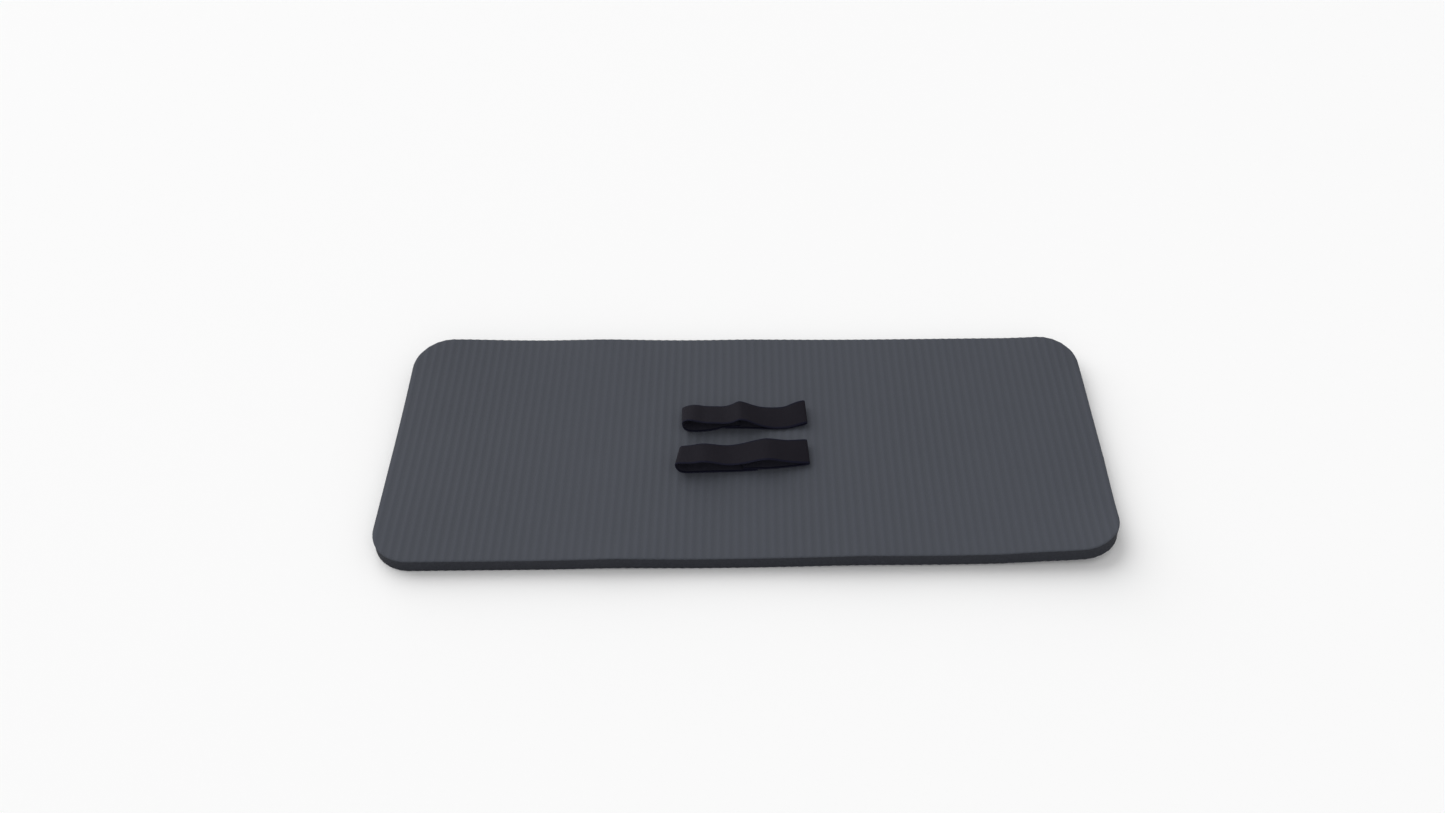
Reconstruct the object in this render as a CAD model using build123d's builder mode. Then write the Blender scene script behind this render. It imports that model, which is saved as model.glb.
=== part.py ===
from build123d import *

import os

# A kneeling pad: a ribbed foam slab, and two loose elastic bands that hold it when it is rolled up.
# The slab's long side is along X, and its underside is at z = 0. All sizes are in millimetres.

# The foam slab
pad_length = 600.0
pad_width = 250.0
pad_thickness = 13.0
corner_radius = 33.5

# Ribs run across the slab on both faces, with a shallow round groove between each two
rib_count = 83
rib_pitch = pad_length / rib_count
groove_width = 0.5 * rib_pitch
groove_depth = 0.5
groove_radius = (groove_width**2 / 4 + groove_depth**2) / (2 * groove_depth)

# The elastic strip of each band, which is closed into a loop by a lap
band_width = 25.0
band_thickness = 1.0
band_clearance = 0.3
lap_length = 12.0
lap_gap = 0.1
lap_ramp = 5.0
lap_bend_radius = 4.0
lower_ply_height = band_clearance + band_thickness / 2
upper_ply_height = lower_ply_height + band_thickness + lap_gap

# The sewing thread of each lap: two rows of stitches across the strip, sunk into its faces
thread_diameter = 0.4
needle_hole_diameter = 0.34
thread_sink = 0.05
thread_gap = 0.1
stitch_count = 8
stitch_pitch = 2.6
row_inset = 3.0
row_length = stitch_count * stitch_pitch
run_length = row_length + 1.5 * thread_diameter

# Each band's place: the middle of its length and width on the slab, and its turn about the vertical
front_band_place = (-3.3, -21.5, pad_thickness)
front_band_turn = 3.5
back_band_place = (-1.5, 24.5, pad_thickness)
back_band_turn = 1.5

# The upper run of each band, from its left fold to its right one: the distance along the band,
# the height of the strip's middle above the slab, and the radius of the bend there
front_band_wave = [
    (-55.2, 11.0, 4.9),
    (-36.0, 11.2, 40.0),
    (-12.0, 6.8, 40.0),
    (17.0, 12.6, 40.0),
    (40.0, 6.4, 60.0),
    (55.4, 5.6, 2.1),
]
back_band_wave = [
    (-53.2, 10.8, 4.7),
    (-42.0, 10.4, 30.0),
    (-20.0, 7.2, 30.0),
    (-4.0, 12.0, 12.0),
    (15.0, 3.0, 30.0),
    (36.0, 3.0, 20.0),
    (46.0, 4.8, 10.0),
    (53.3, 5.0, 1.9),
]

# The middle of each lap along its band, and whether the strip's left-hand end is the upper ply
front_lap_middle = 6.0
front_left_end_on_top = False
back_lap_middle = -10.0
back_left_end_on_top = True


def save(name, builder):
    """Labels a finished piece and writes its STEP file."""
    builder.part.label = name
    export_step(builder.part, f"parts/{name}.step")


def upright_plane(place, turn):
    """The upright plane along a band's middle: its X is along the band, and its Y is up."""
    along = Vector(1, 0, 0).rotate(Axis.Z, turn)
    towards_front = Vector(0, -1, 0).rotate(Axis.Z, turn)
    return Plane(origin=place, x_dir=along, z_dir=towards_front)


def strip_corners(wave, lap_middle, left_end_on_top):
    """The corners of a band's strip from one cut end to the other, and the bend radius at each inner one."""
    left_fold, right_fold = wave[0], wave[-1]
    lap_left = lap_middle - lap_length / 2
    lap_right = lap_middle + lap_length / 2
    round_the_loop = [
        (left_fold[0], lower_ply_height, left_fold[2]),
        *wave,
        (right_fold[0], lower_ply_height, right_fold[2]),
    ]
    if left_end_on_top:
        ramp = [
            (lap_left - band_thickness, upper_ply_height, lap_bend_radius),
            (lap_left - band_thickness - lap_ramp, lower_ply_height, lap_bend_radius),
        ]
        inner = ramp + round_the_loop
        first = (lap_right, upper_ply_height)
        last = (lap_left, lower_ply_height)
    else:
        ramp = [
            (lap_right + band_thickness + lap_ramp, lower_ply_height, lap_bend_radius),
            (lap_right + band_thickness, upper_ply_height, lap_bend_radius),
        ]
        inner = round_the_loop + ramp
        first = (lap_right, lower_ply_height)
        last = (lap_left, upper_ply_height)
    corners = [first, *((x, z) for x, z, radius in inner), last]
    radii = [radius for x, z, radius in inner]
    return corners, radii


def make_thread(name, plane, rows, run_height, leg_end_height):
    """One thread of a lap's lockstitch: a run on the strip's face for each row, and a leg in each needle hole."""
    leg_length = abs(leg_end_height - run_height)
    leg_direction = plane.y_dir if leg_end_height > run_height else -plane.y_dir
    with BuildPart() as thread:
        for along in rows:
            run_start = plane.from_local_coords((along, run_height, -run_length / 2))
            with BuildSketch(Plane(origin=run_start, x_dir=plane.x_dir, z_dir=plane.z_dir)):
                Circle(thread_diameter / 2)
            extrude(amount=run_length)
            for stitch in range(stitch_count + 1):
                across = stitch * stitch_pitch - row_length / 2
                leg_start = plane.from_local_coords((along, run_height, across))
                with BuildSketch(Plane(origin=leg_start, x_dir=plane.x_dir, z_dir=leg_direction)):
                    Circle(needle_hole_diameter / 2)
                extrude(amount=leg_length)
    save(name, thread)
    return thread.part


def make_band(side, place, turn, wave, lap_middle, left_end_on_top):
    """A band's elastic strip, and the needle and bobbin threads of its lap."""
    plane = upright_plane(place, turn)
    rows = (
        lap_middle - lap_length / 2 + row_inset,
        lap_middle + lap_length / 2 - row_inset,
    )
    lap_middle_height = (lower_ply_height + upper_ply_height) / 2
    needle_thread = make_thread(
        f"{side}_band_needle_thread",
        plane,
        rows,
        upper_ply_height + band_thickness / 2 - thread_sink,
        lap_middle_height + thread_gap / 2,
    )
    bobbin_thread = make_thread(
        f"{side}_band_bobbin_thread",
        plane,
        rows,
        lower_ply_height - band_thickness / 2 + thread_sink,
        lap_middle_height - thread_gap / 2,
    )
    corners, radii = strip_corners(wave, lap_middle, left_end_on_top)
    with BuildPart() as strip:
        with BuildLine(plane) as route:
            FilletPolyline(*corners, radius=radii)
        route_wire = route.wire()
        start = Plane(origin=route_wire @ 0, x_dir=plane.z_dir, z_dir=route_wire % 0)
        with BuildSketch(start):
            Rectangle(band_width, band_thickness)
        sweep(path=route_wire)
        add(needle_thread, mode=Mode.SUBTRACT)
        add(bobbin_thread, mode=Mode.SUBTRACT)
    save(f"{side}_band", strip)
    plain_volume = route_wire.length * band_width * band_thickness
    print(side, "strip", round(route_wire.length, 1), "long, volume", round(strip.part.volume), round(plain_volume))


os.makedirs("parts", exist_ok=True)

with BuildPart() as pad:
    with BuildSketch(Plane.XY):
        RectangleRounded(pad_length, pad_width, corner_radius)
    extrude(amount=pad_thickness)
    with BuildSketch(Plane.XZ) as grooves:
        for height in (pad_thickness + groove_radius - groove_depth, groove_depth - groove_radius):
            for groove in range(1, rib_count):
                with Locations((groove * rib_pitch - pad_length / 2, height)):
                    Circle(groove_radius)
    extrude(amount=pad_width, both=True, mode=Mode.SUBTRACT)
save("foam_pad", pad)

make_band(
    "front",
    front_band_place,
    front_band_turn,
    front_band_wave,
    front_lap_middle,
    front_left_end_on_top,
)
make_band(
    "back",
    back_band_place,
    back_band_turn,
    back_band_wave,
    back_lap_middle,
    back_left_end_on_top,
)
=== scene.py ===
import math

import bpy
from mathutils import Matrix, Vector, noise


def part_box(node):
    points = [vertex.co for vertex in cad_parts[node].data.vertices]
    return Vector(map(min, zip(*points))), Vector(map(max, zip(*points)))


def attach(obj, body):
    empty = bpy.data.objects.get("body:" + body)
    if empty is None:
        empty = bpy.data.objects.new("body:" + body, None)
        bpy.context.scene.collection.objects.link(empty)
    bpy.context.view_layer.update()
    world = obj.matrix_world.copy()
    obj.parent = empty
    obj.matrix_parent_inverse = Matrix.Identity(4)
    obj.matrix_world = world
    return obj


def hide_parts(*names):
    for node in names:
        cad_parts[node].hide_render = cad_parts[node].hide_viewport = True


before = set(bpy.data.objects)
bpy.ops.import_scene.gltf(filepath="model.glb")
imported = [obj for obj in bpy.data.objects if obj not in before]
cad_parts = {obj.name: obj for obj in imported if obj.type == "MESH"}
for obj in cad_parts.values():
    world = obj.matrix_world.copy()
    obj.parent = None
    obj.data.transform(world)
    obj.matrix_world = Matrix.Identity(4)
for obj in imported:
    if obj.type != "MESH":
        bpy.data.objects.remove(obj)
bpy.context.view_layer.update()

mm = 0.001
waveScale = 0.314  # the Scale of a wave texture, times the pitch wanted in metres


# helpers

def linearColour(hexCode):
    channels = [int(hexCode[k:k + 2], 16) / 255 for k in (1, 3, 5)]
    linear = [c / 12.92 if c <= 0.04045 else ((c + 0.055) / 1.055) ** 2.4 for c in channels]
    return (*linear, 1.0)


def addNode(tree, kind, settings=None, links=None):
    node = tree.nodes.new(kind)
    for name, value in (settings or {}).items():
        if isinstance(name, int) or name in node.inputs:
            node.inputs[name].default_value = value
        else:
            setattr(node, name, value)
    for name, source in (links or {}).items():
        tree.links.new(source, node.inputs[name])
    return node


def newMaterial(name):
    material = bpy.data.materials.new(name)
    material.use_nodes = True
    material.node_tree.nodes.clear()
    return material, material.node_tree


def deselectAll():
    if bpy.context.object and bpy.context.object.mode != "OBJECT":
        bpy.ops.object.mode_set(mode="OBJECT")
    bpy.ops.object.select_all(action="DESELECT")


def makeActive(piece):
    deselectAll()
    piece.select_set(True)
    bpy.context.view_layer.objects.active = piece


def selectInMesh(piece, part, test):
    # part is "vertices", "edges" or "polygons"; test gets one of them
    bpy.ops.object.mode_set(mode="OBJECT")
    mesh = piece.data
    for group in (mesh.vertices, mesh.edges, mesh.polygons):
        group.foreach_set("select", [False] * len(group))
    chosen = getattr(mesh, part)
    chosen.foreach_set("select", [test(item) for item in chosen])
    bpy.ops.object.mode_set(mode="EDIT")


def applyModifiers(piece):
    makeActive(piece)
    for modifier in list(piece.modifiers):
        bpy.ops.object.modifier_apply(modifier=modifier.name)


# camera, light and floor

studio = {
    "lens": 31.51,
    "elevation": 46.03,
    "azimuth": 0.36,
    "roll": -0.85,
    "distance": 1.1238,
    "lookAt": (0.0002, 0.0528, 0.0),
    "shiftX": -0.0163,
    "floorSize": 14.0,
    "skyStrength": 0.55,
    # height, turn to the left of straight behind, spread and strength of each lamp;
    # they spread as wide as big softboxes close by
    "lamps": {
        "broadKey": (30, 42, 70, 2.4),
        "frontFill": (32, 200, 70, 0.4),
    },
}


def makeStudio():
    turn = (Matrix.Rotation(math.radians(studio["azimuth"]), 3, "Z")
            @ Matrix.Rotation(math.radians(90 - studio["elevation"]), 3, "X"))
    bpy.ops.object.camera_add(location=Vector(studio["lookAt"]) + turn.col[2] * studio["distance"])
    camera = bpy.context.object
    camera.rotation_euler = (turn @ Matrix.Rotation(math.radians(studio["roll"]), 3, "Z")).to_euler()
    camera.data.lens = studio["lens"]
    camera.data.shift_x = studio["shiftX"]
    bpy.context.scene.camera = camera

    for name, (elevation, azimuth, spread, strength) in studio["lamps"].items():
        bpy.ops.object.light_add(type="SUN", location=(0, 0, 2))
        lamp = bpy.context.object
        lamp.name = name
        lamp.data.angle = math.radians(spread)
        lamp.data.energy = strength
        lamp.rotation_euler = (math.radians(elevation - 90), 0, math.radians(azimuth))

    world = bpy.data.worlds.new("softboxSky")
    bpy.context.scene.world = world
    world.use_nodes = True
    world.node_tree.nodes["Background"].inputs["Color"].default_value = (1, 1, 1, 1)
    world.node_tree.nodes["Background"].inputs["Strength"].default_value = studio["skyStrength"]

    bpy.ops.mesh.primitive_plane_add(size=studio["floorSize"], location=(0, 0, -0.0002))
    floor = bpy.context.object
    floor.name = "studioFloor"
    material, tree = newMaterial("pale matt studio paper")
    surface = addNode(tree, "ShaderNodeBsdfPrincipled", {
        "Base Color": linearColour("#FAFAFA"),
        "Roughness": 0.9,
        "Specular IOR Level": 0.2,
    })
    addNode(tree, "ShaderNodeOutputMaterial", links={"Surface": surface.outputs[0]})
    floor.data.materials.append(material)
    bpy.context.scene.view_settings.view_transform = "Standard"


makeStudio()
print("studio ready")


# the foam pad

padShape = {
    "cornerRadius": 33.5 * mm,
    "ribs": 83,
    "ribDepth": 0.36 * mm,  # shallower than cut, as the foam rounds them
    "crestSharpness": 1.6,  # above 1, the crests are narrower than the troughs
    "ribWander": 0.5 * mm,
    "ribUneven": 0.35,  # how much deeper or shallower than usual the troughs get in places
    "columnsPerRib": 6,
    "arcColumns": 24,
    "closestColumns": 0.04 * mm,
    "rowStep": 8 * mm,
    "upperEdge": 0.8 * mm,
    "lowerEdge": 0.8 * mm,
    "edgeRows": (0, 0.06 * mm, 0.2 * mm, 0.45 * mm, 0.8 * mm, 2.4 * mm),
    "sideCuts": 4,
    "sideHollow": 0.25 * mm,
    # where rolling has left the foam lifted: x, y, how high and how far it reaches
    "lifts": (
        (300 * mm, -150 * mm, 6.3 * mm, 110 * mm),
        (300 * mm, -125 * mm, 2.8 * mm, 55 * mm),
        (230 * mm, -140 * mm, 3.6 * mm, 170 * mm),
        (90 * mm, -135 * mm, 2.3 * mm, 130 * mm),
        (-105 * mm, -135 * mm, 1.7 * mm, 80 * mm),
        (-300 * mm, 125 * mm, 1.9 * mm, 60 * mm),
        (-265 * mm, 145 * mm, 8 * mm, 150 * mm),
        (-130 * mm, 135 * mm, 4.5 * mm, 140 * mm),
        (0, 135 * mm, 2.1 * mm, 120 * mm),
        (300 * mm, 140 * mm, 7.9 * mm, 70 * mm),
    ),
    # where the outline is off the rectangle: x, y, how far it moves and how far that reaches
    "slips": (
        (300 * mm, -125 * mm, -2.3 * mm, 2.3 * mm, 100 * mm),
        (-300 * mm, 125 * mm, 0.5 * mm, -0.5 * mm, 50 * mm),
        (300 * mm, 125 * mm, -1.2 * mm, -1.2 * mm, 50 * mm),
    ),
}


def padStations():
    # across the ribs: even steps, and closer ones round the corner arcs
    length = padSize.x
    radius = padShape["cornerRadius"]
    step = length / padShape["ribs"] / padShape["columnsPerRib"]
    even = [k * step for k in range(int(length / 2 / step) + 1)]
    quarter = math.pi / 2
    arc = [length / 2 - radius + radius * math.sin(quarter * k / padShape["arcColumns"])
           for k in range(1, padShape["arcColumns"] + 1)]
    half = []
    for x in sorted(even + arc):
        if not half or x - half[-1] > padShape["closestColumns"]:
            half.append(x)
    half[-1] = length / 2
    return [-x for x in reversed(half[1:])] + half


def padRows():
    # along the ribs, as shares of half the pad's width there
    halfWidth = padSize.y / 2
    lastRow = halfWidth - padShape["edgeRows"][-1]
    count = round(lastRow / padShape["rowStep"])
    inner = [lastRow * k / count for k in range(count + 1)]
    edge = [halfWidth - inset for inset in reversed(padShape["edgeRows"][:-1])]
    half = [y / halfWidth for y in inner + edge]
    return [-y for y in reversed(half[1:])] + half


def halfWidthAt(x):
    radius = padShape["cornerRadius"]
    past = abs(x) - (padSize.x / 2 - radius)
    if past <= 0:
        return padSize.y / 2
    return padSize.y / 2 - radius + math.sqrt(max(0, radius ** 2 - past ** 2))


def distanceInside(x, y):
    # from the outline to a point inside it
    radius = padShape["cornerRadius"]
    pastX = abs(x) - (padSize.x / 2 - radius)
    pastY = abs(y) - (padSize.y / 2 - radius)
    if pastX > 0 and pastY > 0:
        return radius - math.hypot(pastX, pastY)
    return min(padSize.x / 2 - abs(x), padSize.y / 2 - abs(y))


def outlineNormal(x, y):
    # which way is out, for a point on the outline
    radius = padShape["cornerRadius"]
    pastX = abs(x) - (padSize.x / 2 - radius)
    pastY = abs(y) - (padSize.y / 2 - radius)
    if pastX > 0 and pastY > 0:
        return Vector((math.copysign(pastX, x), math.copysign(pastY, y))).normalized()
    if padSize.x / 2 - abs(x) < padSize.y / 2 - abs(y):
        return Vector((math.copysign(1, x), 0))
    return Vector((0, math.copysign(1, y)))


def ribHollow(x, y):
    # 0 on a crest and 1 in a trough
    wander = padShape["ribWander"] * noise.noise((x * 8, y * 10, 0))
    phase = 2 * math.pi * (x + wander) * padShape["ribs"] / padSize.x
    depth = 1 - padShape["ribUneven"] * (0.5 - noise.noise((x * 11, y * 3, 5)))
    return depth * (1 - ((1 + math.cos(phase)) / 2) ** padShape["crestSharpness"])


def edgeDrop(inside, radius):
    if inside >= radius:
        return 0
    return radius - math.sqrt(max(0, radius ** 2 - (radius - inside) ** 2))


def slipAt(x, y):
    total = Vector((0, 0, 0))
    for centreX, centreY, moveX, moveY, reach in padShape["slips"]:
        near = 1 - math.hypot(x - centreX, y - centreY) / reach
        if near > 0:
            total += Vector((moveX, moveY, 0)) * near
    return total


def liftAt(x, y):
    total = 0
    for centreX, centreY, height, reach in padShape["lifts"]:
        near = 1 - math.hypot(x - centreX, y - centreY) / reach
        if near > 0:
            total += height * near ** 2
    return total


def bentPoint(x, y, z):
    # lifts the slab and turns its thickness with it
    step = 1 * mm
    lift = liftAt(x, y)
    slopeX = (liftAt(x + step, y) - liftAt(x - step, y)) / (2 * step)
    slopeY = (liftAt(x, y + step) - liftAt(x, y - step)) / (2 * step)
    above = z - padSize.z / 2
    return Vector((x - slopeX * above, y - slopeY * above, z + lift))


def makePad():
    stations, rows = padStations(), padRows()
    columns, lanes = len(stations) - 1, len(rows) - 1
    deselectAll()
    bpy.ops.mesh.primitive_grid_add(x_subdivisions=columns, y_subdivisions=lanes, size=1)
    pad = bpy.context.object
    pad.name = "foamPad"
    bpy.ops.object.mode_set(mode="EDIT")
    bpy.ops.mesh.extrude_region_move(TRANSFORM_OT_translate={"value": (0, 0, -1)})
    mesh = pad.data

    def upright(edge):
        bottom, top = (mesh.vertices[index].co.z for index in edge.vertices)
        return abs(bottom - top) > 0.5

    selectInMesh(pad, "edges", upright)
    bpy.ops.mesh.subdivide(number_cuts=padShape["sideCuts"])
    bpy.ops.mesh.select_all(action="SELECT")
    bpy.ops.mesh.normals_make_consistent(inside=False)
    bpy.ops.object.mode_set(mode="OBJECT")

    # the skin reaches down over the rounded upper edge, and below it the side is bare foam
    for face in mesh.polygons:
        depths = [mesh.vertices[index].co.z for index in face.vertices]
        face.material_index = 1 if max(depths) - min(depths) > 0.01 else 0

    # the trough depth is also kept for the skin's painted shade in the rib troughs
    tone = mesh.attributes.new("ribHollow", "FLOAT", "POINT")
    upper, lower = padShape["upperEdge"], padShape["lowerEdge"]
    for index, vertex in enumerate(mesh.vertices):
        x = stations[round((vertex.co.x + 0.5) * columns)]
        share = rows[round((vertex.co.y + 0.5) * lanes)]
        y = share * halfWidthAt(x)
        depth = -vertex.co.z  # 0 on the upper face and 1 on the lower one
        hollow = ribHollow(x, y)
        inside = max(0, distanceInside(x, y))
        if depth < 0.001:
            z = padSize.z - padShape["ribDepth"] * hollow - edgeDrop(inside, upper)
        elif depth > 0.999:
            z = padShape["ribDepth"] * hollow + edgeDrop(inside, lower)
        else:
            z = padSize.z - upper - depth * (padSize.z - upper - lower)
            outward = outlineNormal(x, y) * padShape["sideHollow"] * math.sin(math.pi * depth)
            x, y = x - outward.x, y - outward.y
        vertex.co = bentPoint(x, y, z) + slipAt(x, y)
        tone.data[index].value = hollow
    mesh.update()
    makeActive(pad)
    bpy.ops.object.shade_smooth_by_angle(angle=math.radians(40))
    return pad


padLow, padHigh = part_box("foam_pad")
padSize = padHigh - padLow
foamPad = makePad()
print("foam pad:", len(foamPad.data.polygons), "faces")


# foam materials

def foamSkin():
    # NBR foam with its moulded skin: matt, and pebbled finely enough to read as soft
    material, tree = newMaterial("NBR foam, moulded skin")
    place = addNode(tree, "ShaderNodeTexCoord")
    hollow = addNode(tree, "ShaderNodeAttribute", {"attribute_name": "ribHollow"})
    blotch = addNode(tree, "ShaderNodeTexNoise", {"Scale": 35.0, "Detail": 4.0, "Roughness": 0.6},
                     {"Vector": place.outputs["Object"]})
    grain = addNode(tree, "ShaderNodeTexNoise", {"Scale": 1400.0, "Detail": 3.0, "Roughness": 0.6},
                    {"Vector": place.outputs["Object"]})
    pebble = addNode(tree, "ShaderNodeTexVoronoi", {"Scale": 1100.0},
                     {"Vector": place.outputs["Object"]})
    # painted shade: the rib troughs are coloured a little darker than the crests, deepening the shade that
    # falls in them
    ribTroughPaintedShade = addNode(tree, "ShaderNodeValToRGB", links={"Fac": hollow.outputs["Fac"]})
    ribTroughPaintedShade.color_ramp.elements[0].color = linearColour("#474A52")
    ribTroughPaintedShade.color_ramp.elements[1].color = linearColour("#45484F")
    mottle = addNode(tree, "ShaderNodeMapRange", {"To Min": 0.96, "To Max": 1.04},
                     {"Value": blotch.outputs["Fac"]})
    speck = addNode(tree, "ShaderNodeMapRange", {"To Min": 0.94, "To Max": 1.06},
                    {"Value": grain.outputs["Fac"]})
    both = addNode(tree, "ShaderNodeMath", {"operation": "MULTIPLY"},
                   {0: mottle.outputs[0], 1: speck.outputs[0]})
    colour = addNode(tree, "ShaderNodeHueSaturation",
                     links={"Color": ribTroughPaintedShade.outputs["Color"], "Value": both.outputs[0]})
    height = addNode(tree, "ShaderNodeMath", {"operation": "MULTIPLY_ADD", 1: 0.5},
                     {0: pebble.outputs["Distance"], 2: grain.outputs["Fac"]})
    bump = addNode(tree, "ShaderNodeBump", {"Strength": 0.5, "Distance": 0.00012},
                   {"Height": height.outputs[0]})
    rough = addNode(tree, "ShaderNodeMapRange", {"To Min": 0.76, "To Max": 0.9},
                    {"Value": grain.outputs["Fac"]})
    surface = addNode(tree, "ShaderNodeBsdfPrincipled", {"IOR": 1.5, "Specular IOR Level": 0.2},
                      {"Base Color": colour.outputs[0], "Roughness": rough.outputs[0],
                       "Normal": bump.outputs[0]})
    addNode(tree, "ShaderNodeOutputMaterial", links={"Surface": surface.outputs[0]})
    return material


def foamCut():
    # the same foam where the die cut it: open pores and no gloss; its darker tone is partly the bare foam's
    # own and partly painted shade of the side faces, which turn away from the light above
    material, tree = newMaterial("NBR foam, die-cut side")
    place = addNode(tree, "ShaderNodeTexCoord")
    pores = addNode(tree, "ShaderNodeTexVoronoi", {"Scale": 1500.0},
                    {"Vector": place.outputs["Object"]})
    cloud = addNode(tree, "ShaderNodeTexNoise", {"Scale": 260.0, "Detail": 4.0},
                    {"Vector": place.outputs["Object"]})
    # painted shade: the pore pits are coloured darker than the foam between them
    tone = addNode(tree, "ShaderNodeValToRGB", links={"Fac": pores.outputs["Distance"]})
    tone.color_ramp.elements[0].color = linearColour("#25262B")
    tone.color_ramp.elements[1].color = linearColour("#36383F")
    shade = addNode(tree, "ShaderNodeMapRange", {"To Min": 0.85, "To Max": 1.15},
                    {"Value": cloud.outputs["Fac"]})
    colour = addNode(tree, "ShaderNodeHueSaturation",
                     links={"Color": tone.outputs["Color"], "Value": shade.outputs[0]})
    bump = addNode(tree, "ShaderNodeBump", {"Strength": 0.7, "Distance": 0.0003},
                   {"Height": pores.outputs["Distance"]})
    surface = addNode(tree, "ShaderNodeBsdfPrincipled",
                      {"Roughness": 0.95, "IOR": 1.5, "Specular IOR Level": 0.2},
                      {"Base Color": colour.outputs[0], "Normal": bump.outputs[0]})
    addNode(tree, "ShaderNodeOutputMaterial", links={"Surface": surface.outputs[0]})
    return material


foamPad.data.materials.append(foamSkin())
foamPad.data.materials.append(foamCut())

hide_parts("foam_pad")
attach(foamPad, "pad")

# the elastic bands

frontBand = {
    "turn": 3.5,  # degrees, as in the CAD
    # from one cut end round to the other: along the band, across it, height of its middle
    # over the pad, back edge over front edge, and back edge beyond front edge, all in mm
    "route": (
        (12, -1.1, 0.8, 0, 0), (2, -1.4, 0.8, 0, 0), (-12, -1, 0.8, 0, 0), (-28, -0.3, 0.8, 0, 0),
        (-38, 0, 0.8, 0, 2), (-45, 0, 0.8, 0, 4), (-51, 0, 1.6, -0.9, 4), (-54, 0, 6.2, -5.5, 4.8),
        (-53.7, 0, 10.3, -5.6, 4.9), (-47.8, 0, 10.2, -5.4, 3.5), (-41.7, 0, 10, -4.6, 1),
        (-33.7, 0, 11.4, -4.4, 0), (-26.7, 0, 10.1, -4.1, 0), (-16.7, 0, 7, -3.2, 0),
        (-9.7, 0, 6, -3, 0), (-1.5, 0, 7, -2.4, 0), (6, 0, 8.6, -2, 0), (13.5, 0, 10.7, -1.7, 0),
        (20.5, 0, 11.7, -1.3, 0), (27, 0, 10.4, -1, 0), (33.5, 0.1, 8.3, -0.4, 0),
        (40, 0.3, 6.6, 0.2, 0), (47, 0.6, 5.6, 1.6, 0), (52, 0.8, 5, 2.4, 0), (55.4, 0.9, 4.7, 2.6, 0),
        (55.6, 0.9, 2.8, 1.6, 0), (50, 0.8, 2.2, 1.2, 0), (43, 0.5, 1.4, 0.6, 0), (34, 0.2, 0.8, 0, 0),
        (19, -0.3, 0.8, 0, 0), (14, -0.4, 1.7, 0, 0), (9, -0.5, 1.9, 0, 0), (4, -0.5, 1.9, 0, 0),
        (0, -0.5, 2.7, 0, 0),
    ),
    "flatLength": 0.24,
}

backBand = {
    "turn": 1.5,
    "route": (
        (-4, 2.6, 3.4, 3.4, 0), (-9, 2.6, 2.5, 1.8, 0), (-15, 2.4, 1.9, 0.2, 0), (-19, 2, 1.8, 0, 0),
        (-23, 1.2, 0.9, 0, 0), (-30, -0.2, 0.8, 0, 0), (-38, -1, 0.8, 0, 0), (-46, -0.8, 0.8, 0, 0.5),
        (-51, -0.5, 2, -1.5, 0.5), (-53.1, 0, 5.2, -5, 0), (-52.8, 0, 8.4, -8, -0.4),
        (-49, 0, 10.1, -7.4, -0.2), (-44.5, 0, 10.6, -6, 0), (-39.5, 0, 9.4, -4.7, 0),
        (-34.5, 0, 7.8, -4.6, 0),
        (-29.5, 0, 7.4, -4.7, 0), (-24.5, 0, 7, -4.6, 0), (-18.5, 0, 6.4, -4.2, 0),
        (-13.5, 0, 7, -3.6, 0), (-8.5, 0, 9, -3, 0), (-4, 0, 12, -2.6, 0), (1.5, 0, 10, -3.2, 0),
        (6.5, 0, 7.2, -3.2, 0), (11.5, 0, 4.6, -2.4, 0), (16.5, -0.4, 3, -1.6, 0),
        (22.5, -0.8, 2.2, -0.4, 0), (28, -1, 2, 0, 0), (34, -0.9, 2.1, 0.2, 0), (38, -0.4, 2.6, 1.4, 0),
        (42.5, 0.4, 3.8, 2.8, -0.4), (48, 1.3, 5.3, 3, -0.8), (53.2, 2, 6, 2.4, -1),
        (53.3, 2, 4, 2.4, -1), (47.5, 1.3, 3.2, 2.2, -0.8), (41, 0.2, 1.4, 0.6, -0.3),
        (35, -0.6, 0.8, 0, 0), (22, -0.6, 0.8, 0, 0), (4, 1.6, 0.8, 0, 0), (-16.5, 2, 0.8, 0, 0),
    ),
    "flatLength": 0.236,
}

elastic = {
    "width": 25 * mm,
    "thickness": 1 * mm,
    "columnStep": 0.6 * mm,
    "rows": (0, 0.35, 0.8, 1.4, 2.2, 4, 6, 8, 10, 12.5, 15, 17, 19, 21, 22.8, 23.6, 24.2, 24.65, 25),
    "selvedge": 0.6,  # thickness at the very edge, as a share of the middle's
    "selvedgeWidth": 1.4 * mm,  # over which it thickens to that of the middle
    "edgeShadeBand": (1.8 * mm, 1.1 * mm),  # from the edge: where the painted shade of the rounded edge starts, and where it is full
    "edgeSheenLine": (0.35 * mm, 0.1 * mm),  # the same for the painted sheen line at the very edge
    "edgeBevel": 0.16 * mm,
    "ribPitch": 1.25 * mm,
    "pickPitch": 1 * mm,
}


def smoothRail(points):
    # a curve near the given points, as a chain of close points
    curve = bpy.data.curves.new("rail", "CURVE")
    curve.dimensions = "3D"
    curve.resolution_u = 24
    spline = curve.splines.new("NURBS")
    spline.points.add(len(points) - 1)
    for target, point in zip(spline.points, points):
        target.co = (*point, 1)
    spline.order_u = 3
    spline.use_endpoint_u = True
    holder = bpy.data.objects.new("rail", curve)
    mesh = bpy.data.meshes.new_from_object(holder)
    chain = [vertex.co.copy() for vertex in mesh.vertices]
    bpy.data.objects.remove(holder)
    bpy.data.curves.remove(curve)
    bpy.data.meshes.remove(mesh)
    return chain


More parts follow.
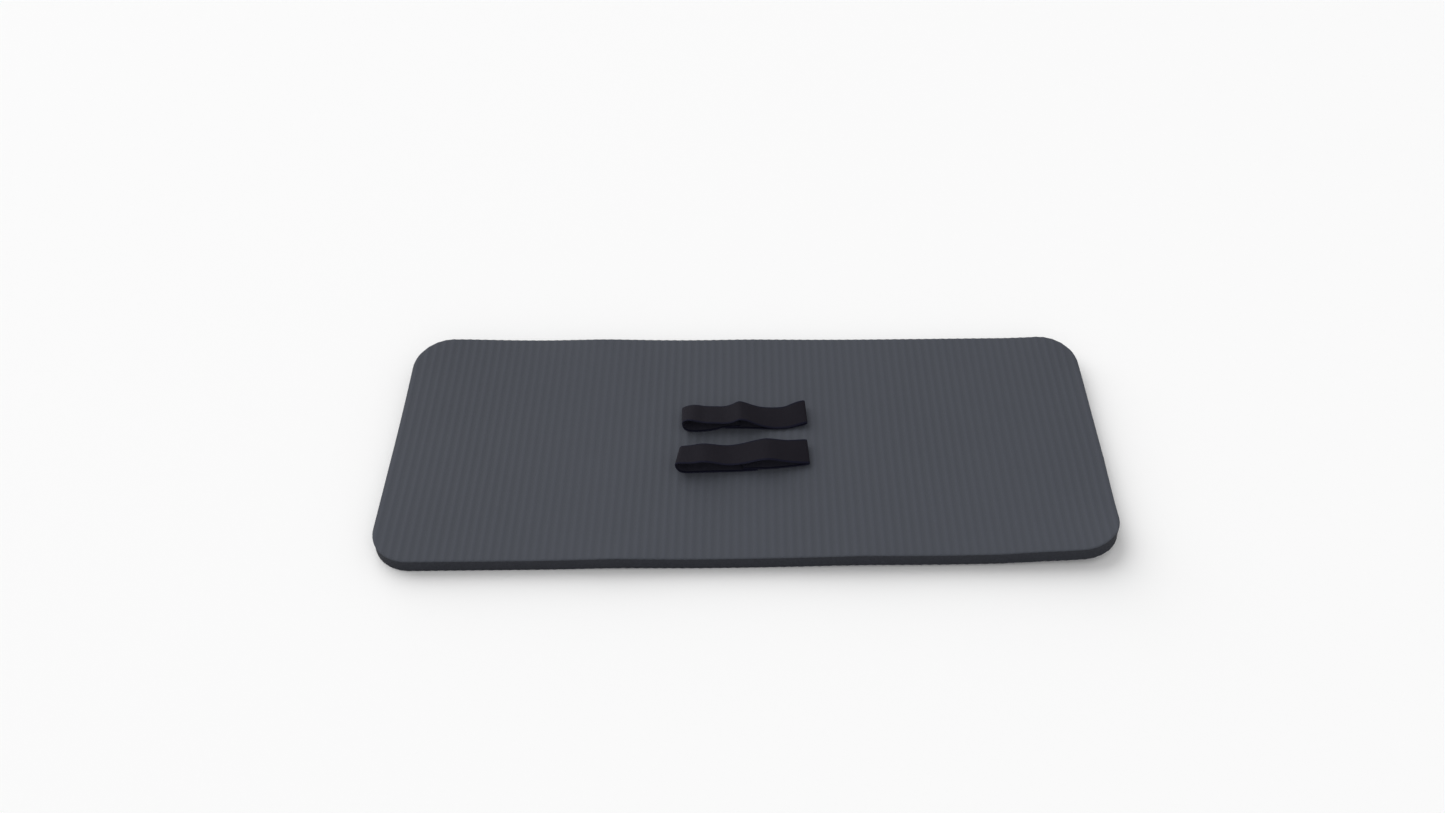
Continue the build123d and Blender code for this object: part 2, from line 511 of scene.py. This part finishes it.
def bandRails(node, band):
    # front and back edges of the strip, paired point by point
    low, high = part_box(node)
    seat = Matrix.Translation(((low.x + high.x) / 2, (low.y + high.y) / 2, padHigh.z))
    seat = seat @ Matrix.Rotation(math.radians(band["turn"]), 4, "Z")
    front, back = [], []
    for along, across, height, tilt, skew in band["route"]:
        middle = Vector((along, across, height)) * mm
        half = Vector((skew * mm, elastic["width"], tilt * mm)).normalized() * elastic["width"] / 2
        front.append(seat @ (middle - half))
        back.append(seat @ (middle + half))
    return smoothRail(front), smoothRail(back)


def evenStations(rails):
    # the strip's edges again, at equal steps along its middle
    front, back = rails
    middles = [(a + b) / 2 for a, b in zip(front, back)]
    reach = [0]
    for a, b in zip(middles, middles[1:]):
        reach.append(reach[-1] + (b - a).length)
    count = round(reach[-1] / elastic["columnStep"])
    stations, k = [], 0
    for column in range(count + 1):
        target = reach[-1] * column / count
        while k < len(reach) - 2 and reach[k + 1] < target:
            k += 1
        part = (target - reach[k]) / (reach[k + 1] - reach[k])
        stations.append((front[k].lerp(front[k + 1], part), back[k].lerp(back[k + 1], part)))
    return stations, reach[-1]


def makeBand(name, stations, length):
    columns, rows = len(stations) - 1, [y * mm / elastic["width"] for y in elastic["rows"]]
    deselectAll()
    bpy.ops.mesh.primitive_grid_add(x_subdivisions=columns, y_subdivisions=len(rows) - 1, size=1)
    strip = bpy.context.object
    strip.name = name
    mesh = strip.data
    share = []
    for vertex in mesh.vertices:
        front, back = stations[round((vertex.co.x + 0.5) * columns)]
        across = rows[round((vertex.co.y + 0.5) * (len(rows) - 1))]
        share.append(across)
        vertex.co = front.lerp(back, across)
    weave = mesh.uv_layers.active
    for corner in mesh.loops:
        u, v = weave.data[corner.index].uv
        across = rows[round(v * (len(rows) - 1))]
        weave.data[corner.index].uv = (u * length, across * elastic["width"])
    thick = strip.vertex_groups.new(name="thickness")
    for index, across in enumerate(share):
        edge = min(across, 1 - across) * elastic["width"] / elastic["selvedgeWidth"]
        thick.add([index], elastic["selvedge"] + (1 - elastic["selvedge"]) * min(1, edge) ** 0.5, "REPLACE")
    solid = strip.modifiers.new("thickness", "SOLIDIFY")
    solid.thickness = elastic["thickness"]
    solid.offset = 0
    solid.vertex_group = "thickness"
    solid.use_even_offset = True
    solid.material_offset = 1
    strip.data.materials.append(None)
    strip.data.materials.append(None)
    rounded = strip.modifiers.new("edges", "BEVEL")
    rounded.width = elastic["edgeBevel"]
    rounded.segments = 2
    rounded.limit_method = "ANGLE"
    rounded.angle_limit = math.radians(50)
    applyModifiers(strip)
    bpy.ops.object.mode_set(mode="EDIT")
    bpy.ops.mesh.select_all(action="SELECT")
    bpy.ops.mesh.normals_make_consistent(inside=False)
    bpy.ops.object.mode_set(mode="OBJECT")
    bpy.ops.object.shade_smooth_by_angle(angle=math.radians(40))
    topFace = max(strip.data.polygons, key=lambda face: face.center.z + face.normal.z)
    if topFace.material_index == 1:
        for face in strip.data.polygons:
            face.material_index = 1 - face.material_index
    return strip


frontStations, frontLength = evenStations(bandRails("front_band", frontBand))
backStations, backLength = evenStations(bandRails("back_band", backBand))
frontStrip = makeBand("frontElasticBand", frontStations, frontLength)
backStrip = makeBand("backElasticBand", backStations, backLength)
print("elastic bands:", round(frontLength * 1000, 1), "and", round(backLength * 1000, 1), "mm long")


seam = {
    "stitches": 8,
    "pitch": 2.6 * mm,
    "stitchSize": (2.3 * mm, 0.42 * mm, 0.4 * mm),  # across the strip, along it, and through it
    "rowInset": 3 * mm,  # from each cut end
    "rowGap": 6 * mm,
    "lean": 0.12,  # each stitch leans a little, as a machine leaves it
    "twistPitch": 0.35 * mm,  # along the thread
}


def seamFrame(stations, length, along, across):
    # a point on the strip's middle surface, with the directions there
    column = min(max(round(along / length * (len(stations) - 1)), 1), len(stations) - 2)
    front, back = stations[column]
    share = across / elastic["width"]
    before, after = (stations[k][0].lerp(stations[k][1], share) for k in (column - 1, column + 1))
    run, side = (after - before).normalized(), (back - front).normalized()
    upward = side.cross(run) if side.cross(run).z > 0 else run.cross(side)
    return front.lerp(back, share), side, run, upward


def makeThread(name, stations, length, atStart, above):
    # both rows of one ply's face: atStart picks the strip's end, above picks the face
    deselectAll()
    bpy.ops.mesh.primitive_uv_sphere_add(segments=8, ring_count=6, radius=0.5)
    stitch = bpy.context.object
    stitch.name = name
    bpy.ops.object.mode_set(mode="EDIT")
    bpy.ops.mesh.select_all(action="SELECT")
    bpy.ops.transform.rotate(value=math.pi / 2, orient_axis="Y", center_override=(0, 0, 0))
    bpy.ops.object.mode_set(mode="OBJECT")
    stitches = [stitch]
    while len(stitches) < 2 * seam["stitches"]:
        copy = stitch.copy()
        copy.data = stitch.data.copy()
        bpy.context.collection.objects.link(copy)
        stitches.append(copy)
    size = seam["stitchSize"]
    lift = elastic["thickness"] / 2 * (1 if above else -1)
    for number, one in enumerate(stitches):
        row, place = divmod(number, seam["stitches"])
        inset = seam["rowInset"] + row * seam["rowGap"]
        across = elastic["width"] / 2 + (place - (seam["stitches"] - 1) / 2) * seam["pitch"]
        along = inset if atStart else length - inset
        middle, side, run, upward = seamFrame(stations, length, along, across)
        for vertex in one.data.vertices:
            x, y, z = vertex.co
            slant = seam["lean"] * x * size[0]
            vertex.co = (middle + side * x * size[0] + run * (y * size[1] + slant)
                         + upward * (z * size[2] + lift))
    deselectAll()
    for one in stitches:
        one.select_set(True)
    bpy.context.view_layer.objects.active = stitch
    bpy.ops.object.join()
    bpy.ops.object.mode_set(mode="EDIT")
    bpy.ops.mesh.select_all(action="SELECT")
    bpy.ops.mesh.normals_make_consistent(inside=False)
    bpy.ops.object.mode_set(mode="OBJECT")
    bpy.ops.object.shade_smooth()
    return stitch


frontUpperStitches = makeThread("frontUpperStitches", frontStations, frontLength, False, True)
frontLowerStitches = makeThread("frontLowerStitches", frontStations, frontLength, True, False)
backUpperStitches = makeThread("backUpperStitches", backStations, backLength, True, True)
backLowerStitches = makeThread("backLowerStitches", backStations, backLength, False, False)
print("seams:", 8 * seam["stitches"], "stitches")


def wovenElastic(name, deepTone, highTone):
    # black polyester yarn woven over rubber: nearly black, soft-edged, with a low bluish bloom;
    # lengthwise ribs 1.25 mm apart and cross picks 1 mm apart, coarser than the yarn so they show
    material, tree = newMaterial(name)
    weave = addNode(tree, "ShaderNodeUVMap", {"uv_map": "UVMap"})
    parts = addNode(tree, "ShaderNodeSeparateXYZ", links={"Vector": weave.outputs[0]})
    ribs = addNode(tree, "ShaderNodeTexWave", {
        "bands_direction": "Y", "Scale": waveScale / elastic["ribPitch"], "Distortion": 0.6, "Detail": 1.0,
        "Detail Scale": 0.6}, {"Vector": weave.outputs[0]})
    picks = addNode(tree, "ShaderNodeTexWave", {
        "bands_direction": "X", "Scale": waveScale / elastic["pickPitch"], "Distortion": 0.8, "Detail": 1.0,
        "Detail Scale": 0.6}, {"Vector": weave.outputs[0]})
    knots = addNode(tree, "ShaderNodeMath", {"operation": "MULTIPLY"},
                    {0: ribs.outputs["Fac"], 1: picks.outputs["Fac"]})
    fuzz = addNode(tree, "ShaderNodeTexNoise", {"Scale": 2600.0, "Detail": 2.0},
                   {"Vector": weave.outputs[0]})
    patch = addNode(tree, "ShaderNodeTexNoise", {"Scale": 160.0, "Detail": 3.0},
                    {"Vector": weave.outputs[0]})
    rise = addNode(tree, "ShaderNodeMath", {"operation": "MULTIPLY_ADD", 1: 0.35},
                   {0: fuzz.outputs["Fac"], 2: knots.outputs[0]})
    yarn = addNode(tree, "ShaderNodeValToRGB", links={"Fac": rise.outputs[0]})
    yarn.color_ramp.elements[0].color = linearColour(deepTone)
    yarn.color_ramp.elements[1].color = linearColour(highTone)
    toMiddle = addNode(tree, "ShaderNodeMath", {"operation": "SUBTRACT", 1: elastic["width"] / 2},
                       {0: parts.outputs["Y"]})
    fromMiddle = addNode(tree, "ShaderNodeMath", {"operation": "ABSOLUTE"}, {0: toMiddle.outputs[0]})
    edgeShadeMask = addNode(tree, "ShaderNodeMapRange", {
        "interpolation_type": "SMOOTHSTEP",
        "From Min": elastic["width"] / 2 - elastic["edgeShadeBand"][0],
        "From Max": elastic["width"] / 2 - elastic["edgeShadeBand"][1]},
        {"Value": fromMiddle.outputs[0]})
    # painted shade: both edges of the strip darken to near black, for the shade where they round down
    selvedge = addNode(tree, "ShaderNodeMix", {"data_type": "RGBA"})
    selvedge.inputs[7].default_value = linearColour("#06071A")
    tree.links.new(edgeShadeMask.outputs[0], selvedge.inputs[0])
    tree.links.new(yarn.outputs["Color"], selvedge.inputs[6])
    # painted highlight: a thin lighter bluish line along the very edge, for the sheen it catches
    edge = addNode(tree, "ShaderNodeMapRange", {
        "From Min": elastic["width"] / 2 - elastic["edgeSheenLine"][0],
        "From Max": elastic["width"] / 2 - elastic["edgeSheenLine"][1]},
        {"Value": fromMiddle.outputs[0]})
    edgeSheenLine = addNode(tree, "ShaderNodeMix", {"data_type": "RGBA"})
    edgeSheenLine.inputs[7].default_value = linearColour("#1B1B2B")
    tree.links.new(edge.outputs[0], edgeSheenLine.inputs[0])
    tree.links.new(selvedge.outputs[2], edgeSheenLine.inputs[6])
    level = addNode(tree, "ShaderNodeMapRange", {"To Min": 0.9, "To Max": 1.1},
                    {"Value": patch.outputs["Fac"]})
    colour = addNode(tree, "ShaderNodeHueSaturation",
                     links={"Color": edgeSheenLine.outputs[2], "Value": level.outputs[0]})
    bump = addNode(tree, "ShaderNodeBump", {"Strength": 0.6, "Distance": 0.0002},
                   {"Height": rise.outputs[0]})
    surface = addNode(tree, "ShaderNodeBsdfPrincipled", {
        "Roughness": 0.9,
        "IOR": 1.5,
        "Specular IOR Level": 0.15,
        "Sheen Weight": 0.03,
        "Sheen Roughness": 0.5,
        "Sheen Tint": linearColour("#9C9CB8"),
    }, {"Base Color": colour.outputs[0], "Normal": bump.outputs[0]})
    addNode(tree, "ShaderNodeOutputMaterial", links={"Surface": surface.outputs[0]})
    return material


def spunThread():
    # black spun polyester sewing thread: a round, tight twist that catches a little light
    material, tree = newMaterial("spun polyester thread, black")
    place = addNode(tree, "ShaderNodeTexCoord")
    twist = addNode(tree, "ShaderNodeTexWave", {
        "bands_direction": "DIAGONAL", "Scale": waveScale / seam["twistPitch"], "Distortion": 0.5},
        {"Vector": place.outputs["Object"]})
    tone = addNode(tree, "ShaderNodeValToRGB", links={"Fac": twist.outputs["Fac"]})
    tone.color_ramp.elements[0].color = linearColour("#121117")
    tone.color_ramp.elements[1].color = linearColour("#24232A")
    bump = addNode(tree, "ShaderNodeBump", {"Strength": 0.5, "Distance": 0.0001},
                   {"Height": twist.outputs["Fac"]})
    surface = addNode(tree, "ShaderNodeBsdfPrincipled",
                      {"Roughness": 0.6, "IOR": 1.5, "Specular IOR Level": 0.35},
                      {"Base Color": tone.outputs["Color"], "Normal": bump.outputs[0]})
    addNode(tree, "ShaderNodeOutputMaterial", links={"Surface": surface.outputs[0]})
    return material


outerWeave = wovenElastic("woven elastic, black polyester", "#0E0C13", "#17141D")
# painted light: the inner face is coloured lighter than the outer one, to stand in for light reaching
# inside the loops
innerWeavePaintedFill = wovenElastic("woven elastic, inner face lightened as painted fill light", "#20202A", "#2B2B36")
for strip, node, band in ((frontStrip, "front_band", frontBand), (backStrip, "back_band", backBand)):
    strip.data.materials[0] = outerWeave
    strip.data.materials[1] = innerWeavePaintedFill
    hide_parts(node)
    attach(strip, node)

sewingThread = spunThread()
for stitches, body, node in (
        (frontUpperStitches, "front_band", "front_band_needle_thread"),
        (frontLowerStitches, "front_band", "front_band_bobbin_thread"),
        (backUpperStitches, "back_band", "back_band_needle_thread"),
        (backLowerStitches, "back_band", "back_band_bobbin_thread")):
    stitches.data.materials.append(sewingThread)
    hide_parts(node)
    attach(stitches, body)
